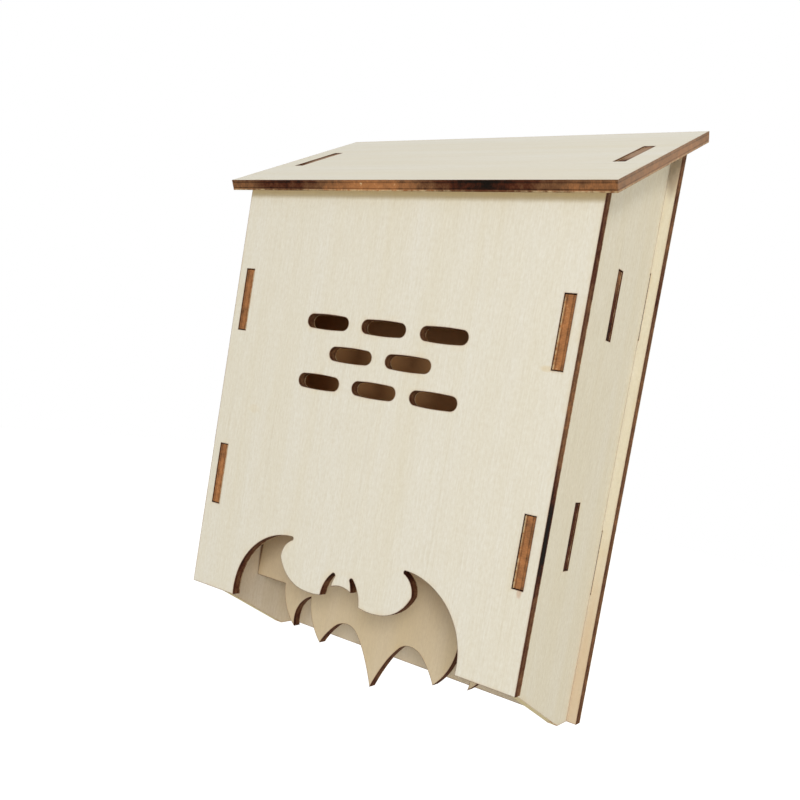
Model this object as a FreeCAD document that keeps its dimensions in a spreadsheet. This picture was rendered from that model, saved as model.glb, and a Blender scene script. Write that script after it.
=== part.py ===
"""Bat box: a hanging roost of laser-cut plywood, six plates held together by tenons in slots.

The box hangs on a wall by a keyhole in its back panel. The origin is the centre of that keyhole's
round hole, on the rear face of the back panel. X runs to the right, Y points to the wall and Z up.
"""
import FreeCAD, Part
import os
import Sketcher

Vector = FreeCAD.Vector
doc = FreeCAD.newDocument("BatBox")
sheet = doc.addObject("Spreadsheet::Sheet", "Sizes")

# Driving sizes in millimetres and degrees. Heights are above the foot of the front panel.
SIZES = {
    # plywood and joints
    "ply": (5.0, "thickness of every plate"),
    "slot_play": (0.1, "gap between a tenon's faces and its slot, each side"),
    "end_play": (0.4, "gap between a tenon's ends and its slot, each end"),
    "tenon_recess": (0.4, "how far a tenon's end lies below the face it comes through"),
    "seat_gap": (0.05, "gap between the roof and the square-cut tops of the upright plates"),
    # panels
    "panel_width": (193.0, "width of the front and back panels"),
    "side_inset": (5.0, "from a panel's side edge to the outer face of the side plate"),
    "front_height": (207.5, "height of the front panel"),
    "inner_depth": (72.0, "between the front and back panels"),
    "back_drop": (28.5, "how far the back panel reaches below the front panel"),
    "foot_flat": (11.0, "level stretch at the foot of a side plate"),
    "chamber_depth": (33.5, "between the front panel and the baffle"),
    # tenons of the side plates, by the height of their middles
    "tenon_length": (30.6, "length of a tenon in the front and back panels"),
    "front_tenon_low": (59.3, "lower front tenon"),
    "front_tenon_high": (150.3, "upper front tenon"),
    "back_tenon_low": (51.0, "lower back tenon"),
    "back_tenon_high": (174.3, "upper back tenon"),
    # tenons of the baffle
    "baffle_tenon": (30.2, "length of a baffle tenon"),
    "baffle_tenon_low": (65.0, "lower baffle tenon"),
    "baffle_tenon_high": (168.5, "upper baffle tenon"),
    # roof
    "roof_slope": (28.0, "slope of the roof in degrees"),
    "roof_length": (105.5, "from eave to rear edge, along the slope"),
    "roof_eave": (8.3, "how far the roof's top edge stands out in front"),
    "roof_overhang": (7.25, "how far the roof stands out past the panels on each side"),
    "roof_tenon": (33.5, "length of the tenon in the roof"),
    "roof_tenon_at": (53.0, "from the eave to the middle of that tenon, along the slope"),
    # keyhole that the box hangs by
    "keyhole_drop": (26.5, "from the back panel's top edge down to the round hole's centre"),
    "keyhole_radius": (5.0, "radius of the round hole, which a screw head passes"),
    "keyhole_neck": (5.0, "width of the neck, which holds the screw's shank"),
    "keyhole_rise": (10.0, "from the round hole's centre to the centre of the neck's end"),
    # ventilation slots, laid like bricks
    "vent_length": (25.0, "length of a ventilation slot over its round ends"),
    "vent_width": (6.5, "width of a ventilation slot"),
    "vent_step": (33.0, "from slot to slot along a row"),
    "vent_rise": (14.5, "from row to row"),
    "vent_height": (129.0, "height of the middle row"),
    # bat figure
    "baffle_foot": (3.0, "height of the straight part of the baffle's lower edge"),
}

# The bat's right half, seen from the front, from the middle outwards. Each point has a name, its
# distance from the middle, its height, and the bow of the arc that leads to it from the point before:
# the arc's rise over half its chord, positive to the left of the way it runs.
CROWN_BOW = 0.25
ENTRANCE = [
    ("brow", 6.0, 20.0, None),
    ("ear_inner", 4.4, 25.5, -0.095),
    ("ear_tip", 6.2, 26.4, 0.8),
    ("shoulder", 11.5, 14.5, 0.19),
    ("hollow", 22.0, 14.0, -0.085),
    ("elbow", 39.3, 26.6, -0.29),
    ("claw_inner", 33.9, 36.1, -0.3),
    ("claw_tip", 33.8, 37.8, 0.8),
    ("wing_root", 67.0, 0.0, 0.447),
]
MEMBRANE = [
    ("tail", 0.0, -34.3, None),
    ("tail_flank", 7.0, -19.2, 0.036),
    ("inner_rise", 13.5, -10.1, 0.057),
    ("inner_arch", 20.0, -7.2, 0.213),
    ("inner_fall", 27.5, -10.2, 0.19),
    ("middle_tip", 36.0, -21.7, 0.087),
    ("outer_arch", 46.3, 0.5, -0.19),
    ("outer_tip", 54.9, -18.0, 0.38),
    ("hem", 65.4, None, -0.22),
]

# Rows of ventilation slots, each with its place from the middle row and its count
VENT_ROWS = ((-1, 3), (0, 2), (1, 3))


def size(name):
    """The name under which an expression finds a driving size."""
    return "Sizes." + name


# Sizes that follow from the driving ones
BOX_DEPTH = "(Sizes.inner_depth + 2 * Sizes.ply)"
HALF_PANEL = "(Sizes.panel_width / 2)"
SIDE_FACE = "(Sizes.panel_width / 2 - Sizes.side_inset)"
INNER_HALF = "(Sizes.panel_width / 2 - Sizes.side_inset - Sizes.ply)"
SLOT_WIDTH = "(Sizes.ply + 2 * Sizes.slot_play)"
SLOT_ENDS = " + 2 * Sizes.end_play"
TENON_REACH = "(Sizes.ply - Sizes.tenon_recess)"
SLOPE = "(Sizes.roof_slope * 1 deg)"
FRONT_TENONS = (size("front_tenon_low"), size("front_tenon_high"))
BACK_TENONS = (size("back_tenon_low"), size("back_tenon_high"))
BAFFLE_TENONS = (size("baffle_tenon_low"), size("baffle_tenon_high"))


def roof_over(depth):
    """Height of the roof's underside at a depth behind the front face."""
    return "(Sizes.front_height + Sizes.seat_gap + (%s) * tan(%s))" % (depth, SLOPE)


def upright_top(depth):
    """Height of a square-cut upright plate whose front face stands at a depth behind the front face."""
    return "(%s - Sizes.seat_gap)" % roof_over(depth)


KEYHOLE_HEIGHT = "(%s - Sizes.keyhole_drop)" % upright_top("Sizes.inner_depth + Sizes.ply")


def fill_sheet():
    """Write every driving size into the sheet under its own name."""
    rows = [(name, value, note) for name, (value, note) in SIZES.items()]
    rows.append(("crown_bow", CROWN_BOW, "bow of the arc over the bat's head"))
    for figure in (ENTRANCE, MEMBRANE):
        for name, across, height, bow in figure:
            rows.append((name + "_across", across, "from the middle of the bat"))
            if height is not None:
                rows.append((name + "_height", height, "above the foot of the front panel"))
            if bow is not None:
                rows.append((name + "_bow", bow, "bow of the arc that leads to this point"))
    for row, (name, value, note) in enumerate(rows, start=1):
        sheet.set("A%d" % row, name)
        sheet.set("B%d" % row, repr(value))
        sheet.set("C%d" % row, note)
        sheet.setAlias("B%d" % row, name)
    doc.recompute()


def value_of(text):
    """The number that an expression gives now, in plain millimetres."""
    result = sheet.evalExpression(text)
    return float(getattr(result, "Value", result))


class Drawing:
    """A sketch on one of a body's own planes, with every point tied to the sheet by expressions."""

    def __init__(self, body, plane, label):
        planes = {feature.Role: feature for feature in body.Origin.OriginFeatures}
        self.sketch = body.newObject("Sketcher::SketchObject", label)
        self.sketch.AttachmentSupport = [(planes[plane], "")]
        self.sketch.MapMode = "FlatFace"

    def tie(self, kind, geometry, end, text):
        """Hold one coordinate of a point at the value of an expression."""
        value = value_of(text)
        axis = {"DistanceX": -2, "DistanceY": -1}[kind]
        if text == "0":
            self.sketch.addConstraint(Sketcher.Constraint("PointOnObject", geometry, end, axis))
            return
        number = self.sketch.addConstraint(Sketcher.Constraint(kind, -1, 1, geometry, end, value))
        self.sketch.setExpression("Constraints[%d]" % number, text)

    def arc(self, start, finish, bow):
        """Add an arc and hold one coordinate of its centre, the one that lies off the chord."""
        x1, y1 = (value_of(text) for text in start)
        x2, y2 = (value_of(text) for text in finish)
        rise = value_of(bow) / 2.0
        middle = Vector((x1 + x2) / 2 - (y2 - y1) * rise, (y1 + y2) / 2 + (x2 - x1) * rise, 0)
        curve = Part.Arc(Vector(x1, y1, 0), middle, Vector(x2, y2, 0))
        geometry = self.sketch.addGeometry(curve, False)
        lean = "((%s)^2 - 1) / (4 * (%s))" % (bow, bow)
        if abs(y2 - y1) > abs(x2 - x1):
            text = "((%s) + (%s)) / 2 - ((%s) - (%s)) * %s" % (
                start[0], finish[0], finish[1], start[1], lean)
            centre = ("DistanceX", text)
        else:
            text = "((%s) + (%s)) / 2 + ((%s) - (%s)) * %s" % (
                start[1], finish[1], finish[0], start[0], lean)
            centre = ("DistanceY", text)
        first = self.sketch.getPoint(geometry, 1)
        forward = first.distanceToPoint(Vector(x1, y1, 0)) < first.distanceToPoint(Vector(x2, y2, 0))
        return geometry, (1, 2) if forward else (2, 1), centre

    def wire(self, corners):
        """Close a wire through corners, each (x, y) or (x, y, bow of the arc that leads there)."""
        edges = []
        for index, corner in enumerate(corners):
            before = corners[index - 1]
            if len(corner) == 3:
                geometry, ends, centre = self.arc(before[:2], corner[:2], corner[2])
            else:
                line = [Vector(value_of(point[0]), value_of(point[1]), 0) for point in (before, corner)]
                geometry = self.sketch.addGeometry(Part.LineSegment(*line), False)
                ends, centre = (1, 2), None
            edges.append((geometry, ends, centre))
        for index, (geometry, ends, centre) in enumerate(edges):
            after, after_ends, _ = edges[(index + 1) % len(edges)]
            joint = Sketcher.Constraint("Coincident", geometry, ends[1], after, after_ends[0])
            self.sketch.addConstraint(joint)
            self.tie("DistanceX", geometry, ends[1], corners[index][0])
            self.tie("DistanceY", geometry, ends[1], corners[index][1])
            if centre:
                self.tie(centre[0], geometry, 3, centre[1])

    def rectangle(self, centre_x, centre_y, width, height):
        """A rectangle about a centre, all four sizes given as expressions."""
        signs = ((-1, -1), (1, -1), (1, 1), (-1, 1))
        self.wire([("(%s) + %d * (%s) / 2" % (centre_x, across, width),
                    "(%s) + %d * (%s) / 2" % (centre_y, up, height)) for across, up in signs])

    def stadium(self, centre_x, centre_y, length, width, upright=False):
        """A slot with round ends, lying along X or standing upright."""
        reach = "((%s) - (%s)) / 2" % (length, width)
        signs = ((-1, -1), (1, -1), (1, 1), (-1, 1))
        if upright:
            corners = [("(%s) + %d * (%s) / 2" % (centre_x, across, width),
                        "(%s) + %d * (%s)" % (centre_y, up, reach)) for across, up in signs]
            rounded = (1, 3)
        else:
            corners = [("(%s) + %d * (%s)" % (centre_x, across, reach),
                        "(%s) + %d * (%s) / 2" % (centre_y, up, width)) for across, up in signs]
            rounded = (0, 2)
        for index in rounded:
            corners[index] += ("-1",)
        self.wire(corners)

    def circle(self, centre_x, centre_y, radius):
        """A round hole, given by its centre and radius."""
        centre = Vector(value_of(centre_x), value_of(centre_y), 0)
        curve = Part.Circle(centre, Vector(0, 0, 1), value_of(radius))
        geometry = self.sketch.addGeometry(curve, False)
        self.tie("DistanceX", geometry, 3, centre_x)
        self.tie("DistanceY", geometry, 3, centre_y)
        constraint = Sketcher.Constraint("Radius", geometry, value_of(radius))
        number = self.sketch.addConstraint(constraint)
        self.sketch.setExpression("Constraints[%d]" % number, radius)


def new_plate(name, plane, corners, reverse=False):
    """A body whose first feature is its outline, padded to the thickness of the plywood."""
    body = doc.addObject("PartDesign::Body", name)
    body.Label = name
    drawing = Drawing(body, plane, name + "_outline")
    drawing.wire(corners)
    pad = body.newObject("PartDesign::Pad", name + "_plate")
    pad.Profile = drawing.sketch
    pad.setExpression("Length", size("ply"))
    pad.Reversed = reverse
    drawing.sketch.Visibility = False
    doc.recompute()
    return body


def cut_through(body, drawing, label):
    """Pocket a sketch right through its plate, and make sure that it cuts."""
    before = body.Shape.Volume
    pocket = body.newObject("PartDesign::Pocket", label)
    pocket.Profile = drawing.sketch
    pocket.Type = "ThroughAll"
    pocket.Midplane = True
    drawing.sketch.Visibility = False
    doc.recompute()
    if not body.Shape.Volume < before:
        raise RuntimeError(label + " cut nothing")


def place(body, across, depth, height, tilt=None):
    """Bind a body's place to the sheet: depth is behind the front face, height above the front foot."""
    body.setExpression("Placement.Base.x", across)
    body.setExpression("Placement.Base.y", "(%s) - (%s)" % (depth, BOX_DEPTH))
    body.setExpression("Placement.Base.z", "(%s) - %s" % (height, KEYHOLE_HEIGHT))
    if tilt:
        body.Placement.Rotation = FreeCAD.Rotation(Vector(1, 0, 0), value_of(tilt))
        body.setExpression("Placement.Rotation.Angle", "(%s) * 1 deg" % tilt)
    doc.recompute()


def roof_point(along, above):
    """Depth and height of a point along the roof from its eave, and above its underside."""
    below = "(Sizes.ply - (%s))" % above
    eave = "(%s + Sizes.ply / cos(%s))" % (roof_over("-Sizes.roof_eave"), SLOPE)
    depth = "(-Sizes.roof_eave + (%s) * cos(%s) + %s * sin(%s))" % (along, SLOPE, below, SLOPE)
    height = "(%s + (%s) * sin(%s) - %s * cos(%s))" % (eave, along, SLOPE, below, SLOPE)
    return depth, height


def figure_points(figure):
    """Expressions for a figure's points: (across, height, bow of the arc that leads there)."""
    points = []
    for name, _, height, bow in figure:
        level = size(name + "_height") if height is not None else size("baffle_foot")
        points.append((size(name + "_across"), "0" if height == 0 else level, bow and size(name + "_bow")))
    return points


def mirrored(points, crown=None):
    """Both halves of a figure, from left to right, out of its right half.

    Crown is the bow of the arc between the two inmost points. Without it the inmost point lies on the
    middle line and is used once. A bow keeps its sign, because mirroring and turning round both flip it.
    """
    outermost = points[-1]
    corners = [("-(%s)" % outermost[0], outermost[1])]
    for index in range(len(points) - 2, -1, -1):
        corners.append(("-(%s)" % points[index][0], points[index][1], points[index + 1][2]))
    if crown:
        corners.append((points[0][0], points[0][1], crown))
    else:
        corners[-1] = ("0",) + corners[-1][1:]
    return corners + points[1:]


def tenoned_edge(edge, reach, tenons, length, downward=False):
    """Corners along an upright edge, which stands out to reach at each tenon."""
    corners = []
    for middle in tenons:
        low, high = ("(%s) %s (%s) / 2" % (middle, sign, length) for sign in "-+")
        corners += [(edge, low), (reach, low), (reach, high), (edge, high)]
    return corners[::-1] if downward else corners


def cut_panel_slots(body, tenons, label):
    """Slots in a front or back panel for the tenons of both side plates."""
    slots = Drawing(body, "XZ_Plane", label + "_sketch")
    for side in "-+":
        for middle in tenons:
            across = "%s(%s - Sizes.ply / 2)" % (side.replace("+", ""), SIDE_FACE)
            slots.rectangle(across, middle, SLOT_WIDTH, size("tenon_length") + SLOT_ENDS)
    cut_through(body, slots, label)


def make_front_panel():
    """Front: the bat's upper half is cut into its lower edge as the way in, with vents above."""
    top = size("front_height")
    corners = [("-" + HALF_PANEL, "0")] + mirrored(figure_points(ENTRANCE), crown=size("crown_bow"))
    corners += [(HALF_PANEL, "0"), (HALF_PANEL, top), ("-" + HALF_PANEL, top)]
    body = new_plate("front_panel", "XZ_Plane", corners)
    cut_panel_slots(body, FRONT_TENONS, "front_slots")
    vents = Drawing(body, "XZ_Plane", "vents_sketch")
    for row, count in VENT_ROWS:
        for number in range(count):
            across = "%.1f * Sizes.vent_step" % (number - (count - 1) / 2)
            height = "Sizes.vent_height + %d * Sizes.vent_rise" % row
            vents.stadium(across, height, size("vent_length"), size("vent_width"))
    cut_through(body, vents, "vents")
    place(body, "0", size("ply"), "0")
    return body


def make_back_panel():
    """Back: a plain plate that reaches below the rest, with the keyhole that the box hangs by."""
    foot = "-Sizes.back_drop"
    top = upright_top("Sizes.inner_depth + Sizes.ply")
    corners = [("-" + HALF_PANEL, foot), (HALF_PANEL, foot), (HALF_PANEL, top), ("-" + HALF_PANEL, top)]
    body = new_plate("back_panel", "XZ_Plane", corners)
    cut_panel_slots(body, BACK_TENONS, "back_slots")
    round_hole = Drawing(body, "XZ_Plane", "keyhole_round_sketch")
    round_hole.circle("0", KEYHOLE_HEIGHT, size("keyhole_radius"))
    cut_through(body, round_hole, "keyhole_round")
    neck = Drawing(body, "XZ_Plane", "keyhole_neck_sketch")
    neck.stadium("0", KEYHOLE_HEIGHT + " + Sizes.keyhole_rise / 2",
                 "Sizes.keyhole_rise + Sizes.keyhole_neck", size("keyhole_neck"), upright=True)
    cut_through(body, neck, "keyhole_neck")
    place(body, "0", BOX_DEPTH, "0")
    return body


def make_side(name, across):
    """Side: its tenons go forward, back and up into the roof, and its slots take the baffle."""
    back = "(Sizes.ply + Sizes.inner_depth)"
    foot = "-Sizes.back_drop"
    corners = [(size("ply"), "0"), (back + " - Sizes.foot_flat", foot), (back, foot)]
    corners += tenoned_edge(back, "%s + %s" % (back, TENON_REACH), BACK_TENONS, size("tenon_length"))
    corners.append((back, roof_over(back)))
    for end, above in (("+", "0"), ("+", TENON_REACH), ("-", TENON_REACH), ("-", "0")):
        corners.append(roof_point("Sizes.roof_tenon_at %s Sizes.roof_tenon / 2" % end, above))
    corners.append((size("ply"), roof_over(size("ply"))))
    corners += tenoned_edge(size("ply"), size("tenon_recess"), FRONT_TENONS, size("tenon_length"),
                            downward=True)
    body = new_plate(name, "YZ_Plane", corners)
    slots = Drawing(body, "YZ_Plane", name + "_slots_sketch")
    for middle in BAFFLE_TENONS:
        slots.rectangle("Sizes.ply + Sizes.chamber_depth + Sizes.ply / 2", middle,
                        SLOT_WIDTH, size("baffle_tenon") + SLOT_ENDS)
    cut_through(body, slots, name + "_slots")
    place(body, across, "0", "0")
    return body


def make_baffle():
    """Baffle: parts the box into two chambers, and its lower edge is the bat's lower half."""
    top = upright_top("Sizes.ply + Sizes.chamber_depth")
    reach = "(%s + %s)" % (INNER_HALF, TENON_REACH)
    corners = [("-" + INNER_HALF, size("baffle_foot"))] + mirrored(figure_points(MEMBRANE))
    corners.append((INNER_HALF, size("baffle_foot")))
    corners += tenoned_edge(INNER_HALF, reach, BAFFLE_TENONS, size("baffle_tenon"))
    corners += [(INNER_HALF, top), ("-" + INNER_HALF, top)]
    corners += tenoned_edge("-" + INNER_HALF, "-" + reach, BAFFLE_TENONS, size("baffle_tenon"),
                            downward=True)
    body = new_plate("baffle", "XZ_Plane", corners)
    place(body, "0", "Sizes.ply + Sizes.chamber_depth + Sizes.ply", "0")
    return body


def make_roof():
    """Roof: one sloping plate on the side plates, with a slot over each for its tenon."""
    half = "(Sizes.panel_width / 2 + Sizes.roof_overhang)"
    corners = [("-" + half, "0"), (half, "0"),
               (half, size("roof_length")), ("-" + half, size("roof_length"))]
    body = new_plate("roof", "XY_Plane", corners, reverse=True)
    slots = Drawing(body, "XY_Plane", "roof_slots_sketch")
    for side in "-+":
        across = "%s(%s - Sizes.ply / 2)" % (side.replace("+", ""), SIDE_FACE)
        slots.rectangle(across, size("roof_tenon_at"), SLOT_WIDTH, size("roof_tenon") + SLOT_ENDS)
    cut_through(body, slots, "roof_slots")
    depth, height = roof_point("0", size("ply"))
    place(body, "0", depth, height, tilt=size("roof_slope"))
    return body


def check_model(bodies):
    """Stop before anything is written if a feature failed or a plate isn't one valid solid."""
    for item in doc.Objects:
        if "Invalid" in item.State or "Error" in item.State:
            raise RuntimeError("%s failed: %s" % (item.Label, item.State))
    for body in bodies:
        shape = body.Shape
        if shape.isNull() or not shape.isValid() or len(shape.Solids) != 1:
            raise RuntimeError(body.Label + " isn't one valid solid")


fill_sheet()
bodies = [
    make_front_panel(),
    make_back_panel(),
    make_side("side_left", "-" + SIDE_FACE),
    make_side("side_right", INNER_HALF),
    make_baffle(),
    make_roof(),
]
doc.recompute()
check_model(bodies)
os.makedirs("parts", exist_ok=True)
for body in bodies:
    body.Shape.exportStep(os.path.join("parts", body.Label + ".step"))
    box = body.Shape.BoundBox
    print("%-12s %8.1f mm3  x %.2f..%.2f  y %.2f..%.2f  z %.2f..%.2f" % (
        body.Label, body.Shape.Volume, box.XMin, box.XMax, box.YMin, box.YMax, box.ZMin, box.ZMax))
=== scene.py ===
"""Bat box: the finish of a hanging roost of laser-cut basswood plywood.

Every plate is built again from its solid in the frame, with eased arrises, glue lines let into its cut
edges and a ring mesh that carries the scorching near each cut. The box keeps its own frame: metres,
X to the right, Y to the wall that it hangs on, Z up, entrance towards -Y.
"""

import math
from collections import namedtuple

import bmesh
import bpy
import numpy as np
from bpy.props import FloatProperty, FloatVectorProperty, PointerProperty
from mathutils import Matrix, Vector, geometry


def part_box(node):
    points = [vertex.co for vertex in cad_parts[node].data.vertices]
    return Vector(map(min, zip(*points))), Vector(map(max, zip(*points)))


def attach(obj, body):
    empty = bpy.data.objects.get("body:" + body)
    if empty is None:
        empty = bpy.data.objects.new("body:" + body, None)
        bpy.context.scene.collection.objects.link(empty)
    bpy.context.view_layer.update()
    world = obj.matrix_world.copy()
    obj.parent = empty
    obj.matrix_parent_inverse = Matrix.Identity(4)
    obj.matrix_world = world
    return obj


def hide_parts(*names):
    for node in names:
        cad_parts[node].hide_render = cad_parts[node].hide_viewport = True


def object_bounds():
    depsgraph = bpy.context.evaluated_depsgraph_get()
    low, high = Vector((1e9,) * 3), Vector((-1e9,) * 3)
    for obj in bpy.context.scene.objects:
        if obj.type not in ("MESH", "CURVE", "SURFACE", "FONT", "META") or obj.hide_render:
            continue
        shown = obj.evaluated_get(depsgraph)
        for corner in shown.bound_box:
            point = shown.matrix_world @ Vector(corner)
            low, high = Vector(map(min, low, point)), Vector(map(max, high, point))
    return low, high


bl_info = {
    "name": "Bat box",
    "version": (1, 0, 0),
    "blender": (4, 5, 0),
    "location": "3D View > Sidebar > Bat box",
    "description": "Dresses the plates of a plywood bat box and sets it in a plain studio",
    "category": "Object",
}

MM = 0.001
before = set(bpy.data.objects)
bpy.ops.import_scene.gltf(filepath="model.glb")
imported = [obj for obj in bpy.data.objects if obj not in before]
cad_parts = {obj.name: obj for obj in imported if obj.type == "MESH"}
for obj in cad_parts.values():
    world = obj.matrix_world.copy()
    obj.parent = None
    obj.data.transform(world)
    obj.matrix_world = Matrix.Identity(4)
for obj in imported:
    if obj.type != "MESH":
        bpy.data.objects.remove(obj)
CAD_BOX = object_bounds()
FRONT_LOW, FRONT_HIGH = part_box("front_panel")
BACK_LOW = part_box("back_panel")[0]
LEFT_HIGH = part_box("side_left")[1]
RIGHT_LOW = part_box("side_right")[0]
# Thickness of the plywood, in millimetres
THICKNESS = (FRONT_HIGH.y - FRONT_LOW.y) / MM

# The plywood's two finishes, in the order of a plate's material slots
VENEER_FINISH = "basswood_veneer_sanded"
EDGE_FINISH = "plywood_edge_laser_cut"
FINISHES = (VENEER_FINISH, EDGE_FINISH)

# How finely the outlines are drawn, in millimetres and degrees: sag of a chord under its arc, longest
# chord of a straight run, length of the short chord beside a corner, sharpest turn between two chords of
# one arc, and least turn of a corner
ARC_SAG = 0.01
STRAIGHT_STEP = 4.0
CORNER_STEP = 0.9
ARC_TURN = 60.0
CORNER_TURN = 20.0
# Tolerances of the arcs: least bend that counts as an arc, how far two circles of one arc may differ, in
# millimetres and as a share of the radius, and least radius that the sag is worked out for
LEAST_BEND = 1e-4
SAME_ARC = 0.02
LEAST_RADIUS = 0.1
# Rings of points beside a cut, in millimetres, how far apart their points stand and how far from every
# cut they keep, as shares of the ring's distance
HALO_RINGS = (0.7, 1.5, 3.0, 6.0)
RING_STEP = 0.8
RING_KEEP = 0.98
# Least divisor of an inset corner's move, which keeps its mitre short
MITRE_LIMIT = 0.05
# Where the middle of an eased arris lies, as a share of its width
ARRIS_MIDDLE = 0.3
# Welding: decimals of a millimetre that a solid's vertices are compared in, and how near two points of a
# face may be, in millimetres
WELD_DECIMALS = 3
WELD_REACH = 1e-5
# Cosines of how far a polygon may lean from its plate's rough direction and from its show face
ROUGH_LEAN = 0.9
FACE_LEAN = 0.999

# A plate: roughly which way its show face looks, which way its grain runs, where in the sheet of
# plywood it was cut out, in millimetres, so that no two plates share a grain, how yellow its veneer
# is, from 0 for cream to 1 for sap, and how strongly its fibres show
Plate = namedtuple("Plate", "face grain place tone fibre")
PLATES = {
    "front_panel": Plate((0, -1, 0), (0, 0, 1), (150, 300), 0.0, 1.0),
    "back_panel": Plate((0, -1, 0), (0, 0, 1), (400, 300), 0.25, 0.9),
    "baffle": Plate((0, -1, 0), (0, 0, 1), (650, 300), 0.6, 1.5),
    "side_left": Plate((-1, 0, 0), (0, 0, 1), (850, 300), 0.2, 1.5),
    "side_right": Plate((1, 0, 0), (0, 0, 1), (1050, 300), 0.2, 1.5),
    "roof": Plate((0, -0.45, 0.9), (1, 0, 0), (1250, 300), 0.05, 0.35),
}

# How burnt the cuts are, from 0 for bare wood to 1 for soot: each plate's straight outer edges, its curves
# and its holes, where the beam slows down, and what the corner of a hole adds
EDGE_CHAR = {
    "front_panel": 0.58, "back_panel": 0.6, "baffle": 0.9,
    "side_left": 0.34, "side_right": 0.34, "roof": 0.5,
}
CURVE_CHAR = 0.73
HOLE_CHAR = 0.62
CORNER_CHAR = 0.35
# Where the beam dwelt or hurried: plate, centre and reach in millimetres, change of char
SOOT_SPOTS = (
    ("roof", (-68, -90, -15), 18, 0.38),
    ("roof", (-15, -90, -15), 28, -0.24),
    ("roof", (44, -90, -15), 25, 0.5),
    ("roof", (88, -90, -15), 12, -0.04),
    ("roof", (104, -40, 10), 45, -0.1),
    ("front_panel", (96, -80, -35), 36, 0.2),
    ("front_panel", (96, -80, -106), 18, -0.08),
    ("front_panel", (96, -80, -156), 24, 0.6),
    ("front_panel", (96, -80, -208), 20, 0.14),
    ("front_panel", (-6, -82, -195), 4, 0.35),
    ("front_panel", (6, -82, -195), 4, 0.35),
    ("front_panel", (-34, -82, -184), 5, 0.3),
    ("front_panel", (34, -82, -184), 5, 0.3),
    ("back_panel", (96, -3, -44), 10, 0.2),
    ("side_left", (-89, -45, 12), 30, 0.15),
    ("side_right", (89, -45, 12), 30, 0.15),
    ("baffle", (91, -41, -41), 8, -0.4),
    ("side_left", (-89, -58, 4), 5, 0.5),
    ("side_right", (89, -58, 4), 5, 0.5),
    ("side_left", (-89, -50, -240), 45, -0.5),
    ("side_right", (89, -50, -240), 45, -0.5),
)
# What smoke, heat and glue left on the faces, and a painted shadow: colour, strength, and centre and
# reach along X, Y and Z in millimetres
STAINS_AND_SHADOW = (
    # Painted shadow of the roof on the top of the back panel's strip beside the right side plate
    ("brown", 0.55, (94, -5, 16), (4, 2, 16)),
    ("smoke_and_eave_shade", 0.35, (84.5, -82, -87), (4, 2, 1.8)),
    ("tan", 0.4, (90, -82, -179.5), (1.5, 2, 3)),
    ("smoke_and_eave_shade", 0.12, (-72, -82, -126), (5, 2, 3)),
    ("umber", 0.75, (-86.5, -43.5, -195), (1.6, 1.6, 28)),
    ("umber", 0.75, (86.5, -43.5, -195), (1.6, 1.6, 28)),
    ("scorch", 0.5, (94, -5, -260), (5, 2, 120)),
)
# Where pale ash lies on the cut edges, and a painted sheen on the roof's side edges: strength, centre and
# reach in millimetres
ASH_AND_SHEEN = (
    (0.4, (-104, -42, 9), (0.9, 120, 70)),
    (0.4, (104, -42, 9), (0.9, 120, 70)),
    (0.6, (-89, -40, 13), (3.5, 20, 16)),
    (0.6, (89, -40, 13), (3.5, 20, 16)),
)
# Share of such a spot's reach within which it has its full strength
SPOT_CORE = 0.4
# Colour of a cut edge by how burnt it is
CHAR_COLOURS = ((0.0, "sap"), (0.06, "tan"), (0.48, "brown"), (0.76, "umber"), (1.0, "soot"))
# Smoke and painted shade below the roof, in millimetres under its lower face: where they start, start to
# fade and end
EAVES_SMOKE_AND_SHADE_START = 0.05
EAVES_SMOKE_AND_SHADE_NEAR = 2.2
EAVES_SMOKE_AND_SHADE_FAR = 5.5
# Painted shade inside the box: the heights, in millimetres, between which it deepens, its share at the
# lower one, how near a point must be to count as on a wall, and how far past the walls it may lie
INSIDE_SHADE_LOW = -200
INSIDE_SHADE_HIGH = -130
INSIDE_SHADE_LEAST = 0.22
ON_WALL = 0.5
PAST_WALL = 0.2
# Soft lamps: place from the middle of the box, and width, in metres
LAMPS = {
    "key": ((1.05, -1.61, 0.55), 0.5),
    "side": ((1.4, -0.2, 0.05), 1.0),
    "top": ((0.0, 0.1, 1.4), 0.9),
}
# Half the width of the floor, in metres
FLOOR_HALF = 4.0
# Width of the camera's sensor in millimetres, and how near it still sees, in metres
SENSOR_WIDTH = 36.0
NEAREST = 0.01


def linear(hex_colour):
    """A linear RGBA colour from an sRGB hex value such as #E3DBC8."""
    channels = [int(hex_colour[i:i + 2], 16) / 255 for i in (1, 3, 5)]
    return tuple(c / 12.92 if c <= 0.04045 else ((c + 0.055) / 1.055) ** 2.4 for c in channels) + (1.0,)


def colour_property(name, hex_colour, description):
    """A colour that the panel shows, given as an sRGB hex value."""
    return FloatVectorProperty(name=name, subtype="COLOR", size=4, min=0, max=1,
                               default=linear(hex_colour), description=description)


def length_property(name, millimetres, description):
    """A length that the panel shows, given in millimetres."""
    return FloatProperty(name=name, unit="LENGTH", min=0, default=millimetres * MM, precision=5,
                         description=description)


def share_property(name, share, description):
    """A strength from 0 to 1 that the panel shows."""
    return FloatProperty(name=name, subtype="FACTOR", min=0, max=1, default=share,
                         description=description)


def angle_property(name, degrees, description):
    """An angle that the panel shows, given in degrees."""
    return FloatProperty(name=name, subtype="ANGLE", default=math.radians(degrees),
                         description=description)


def power_property(name, watts, description):
    """The power of a lamp that the panel shows, given in watts."""
    return FloatProperty(name=name, unit="POWER", min=0, default=watts, description=description)


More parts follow.
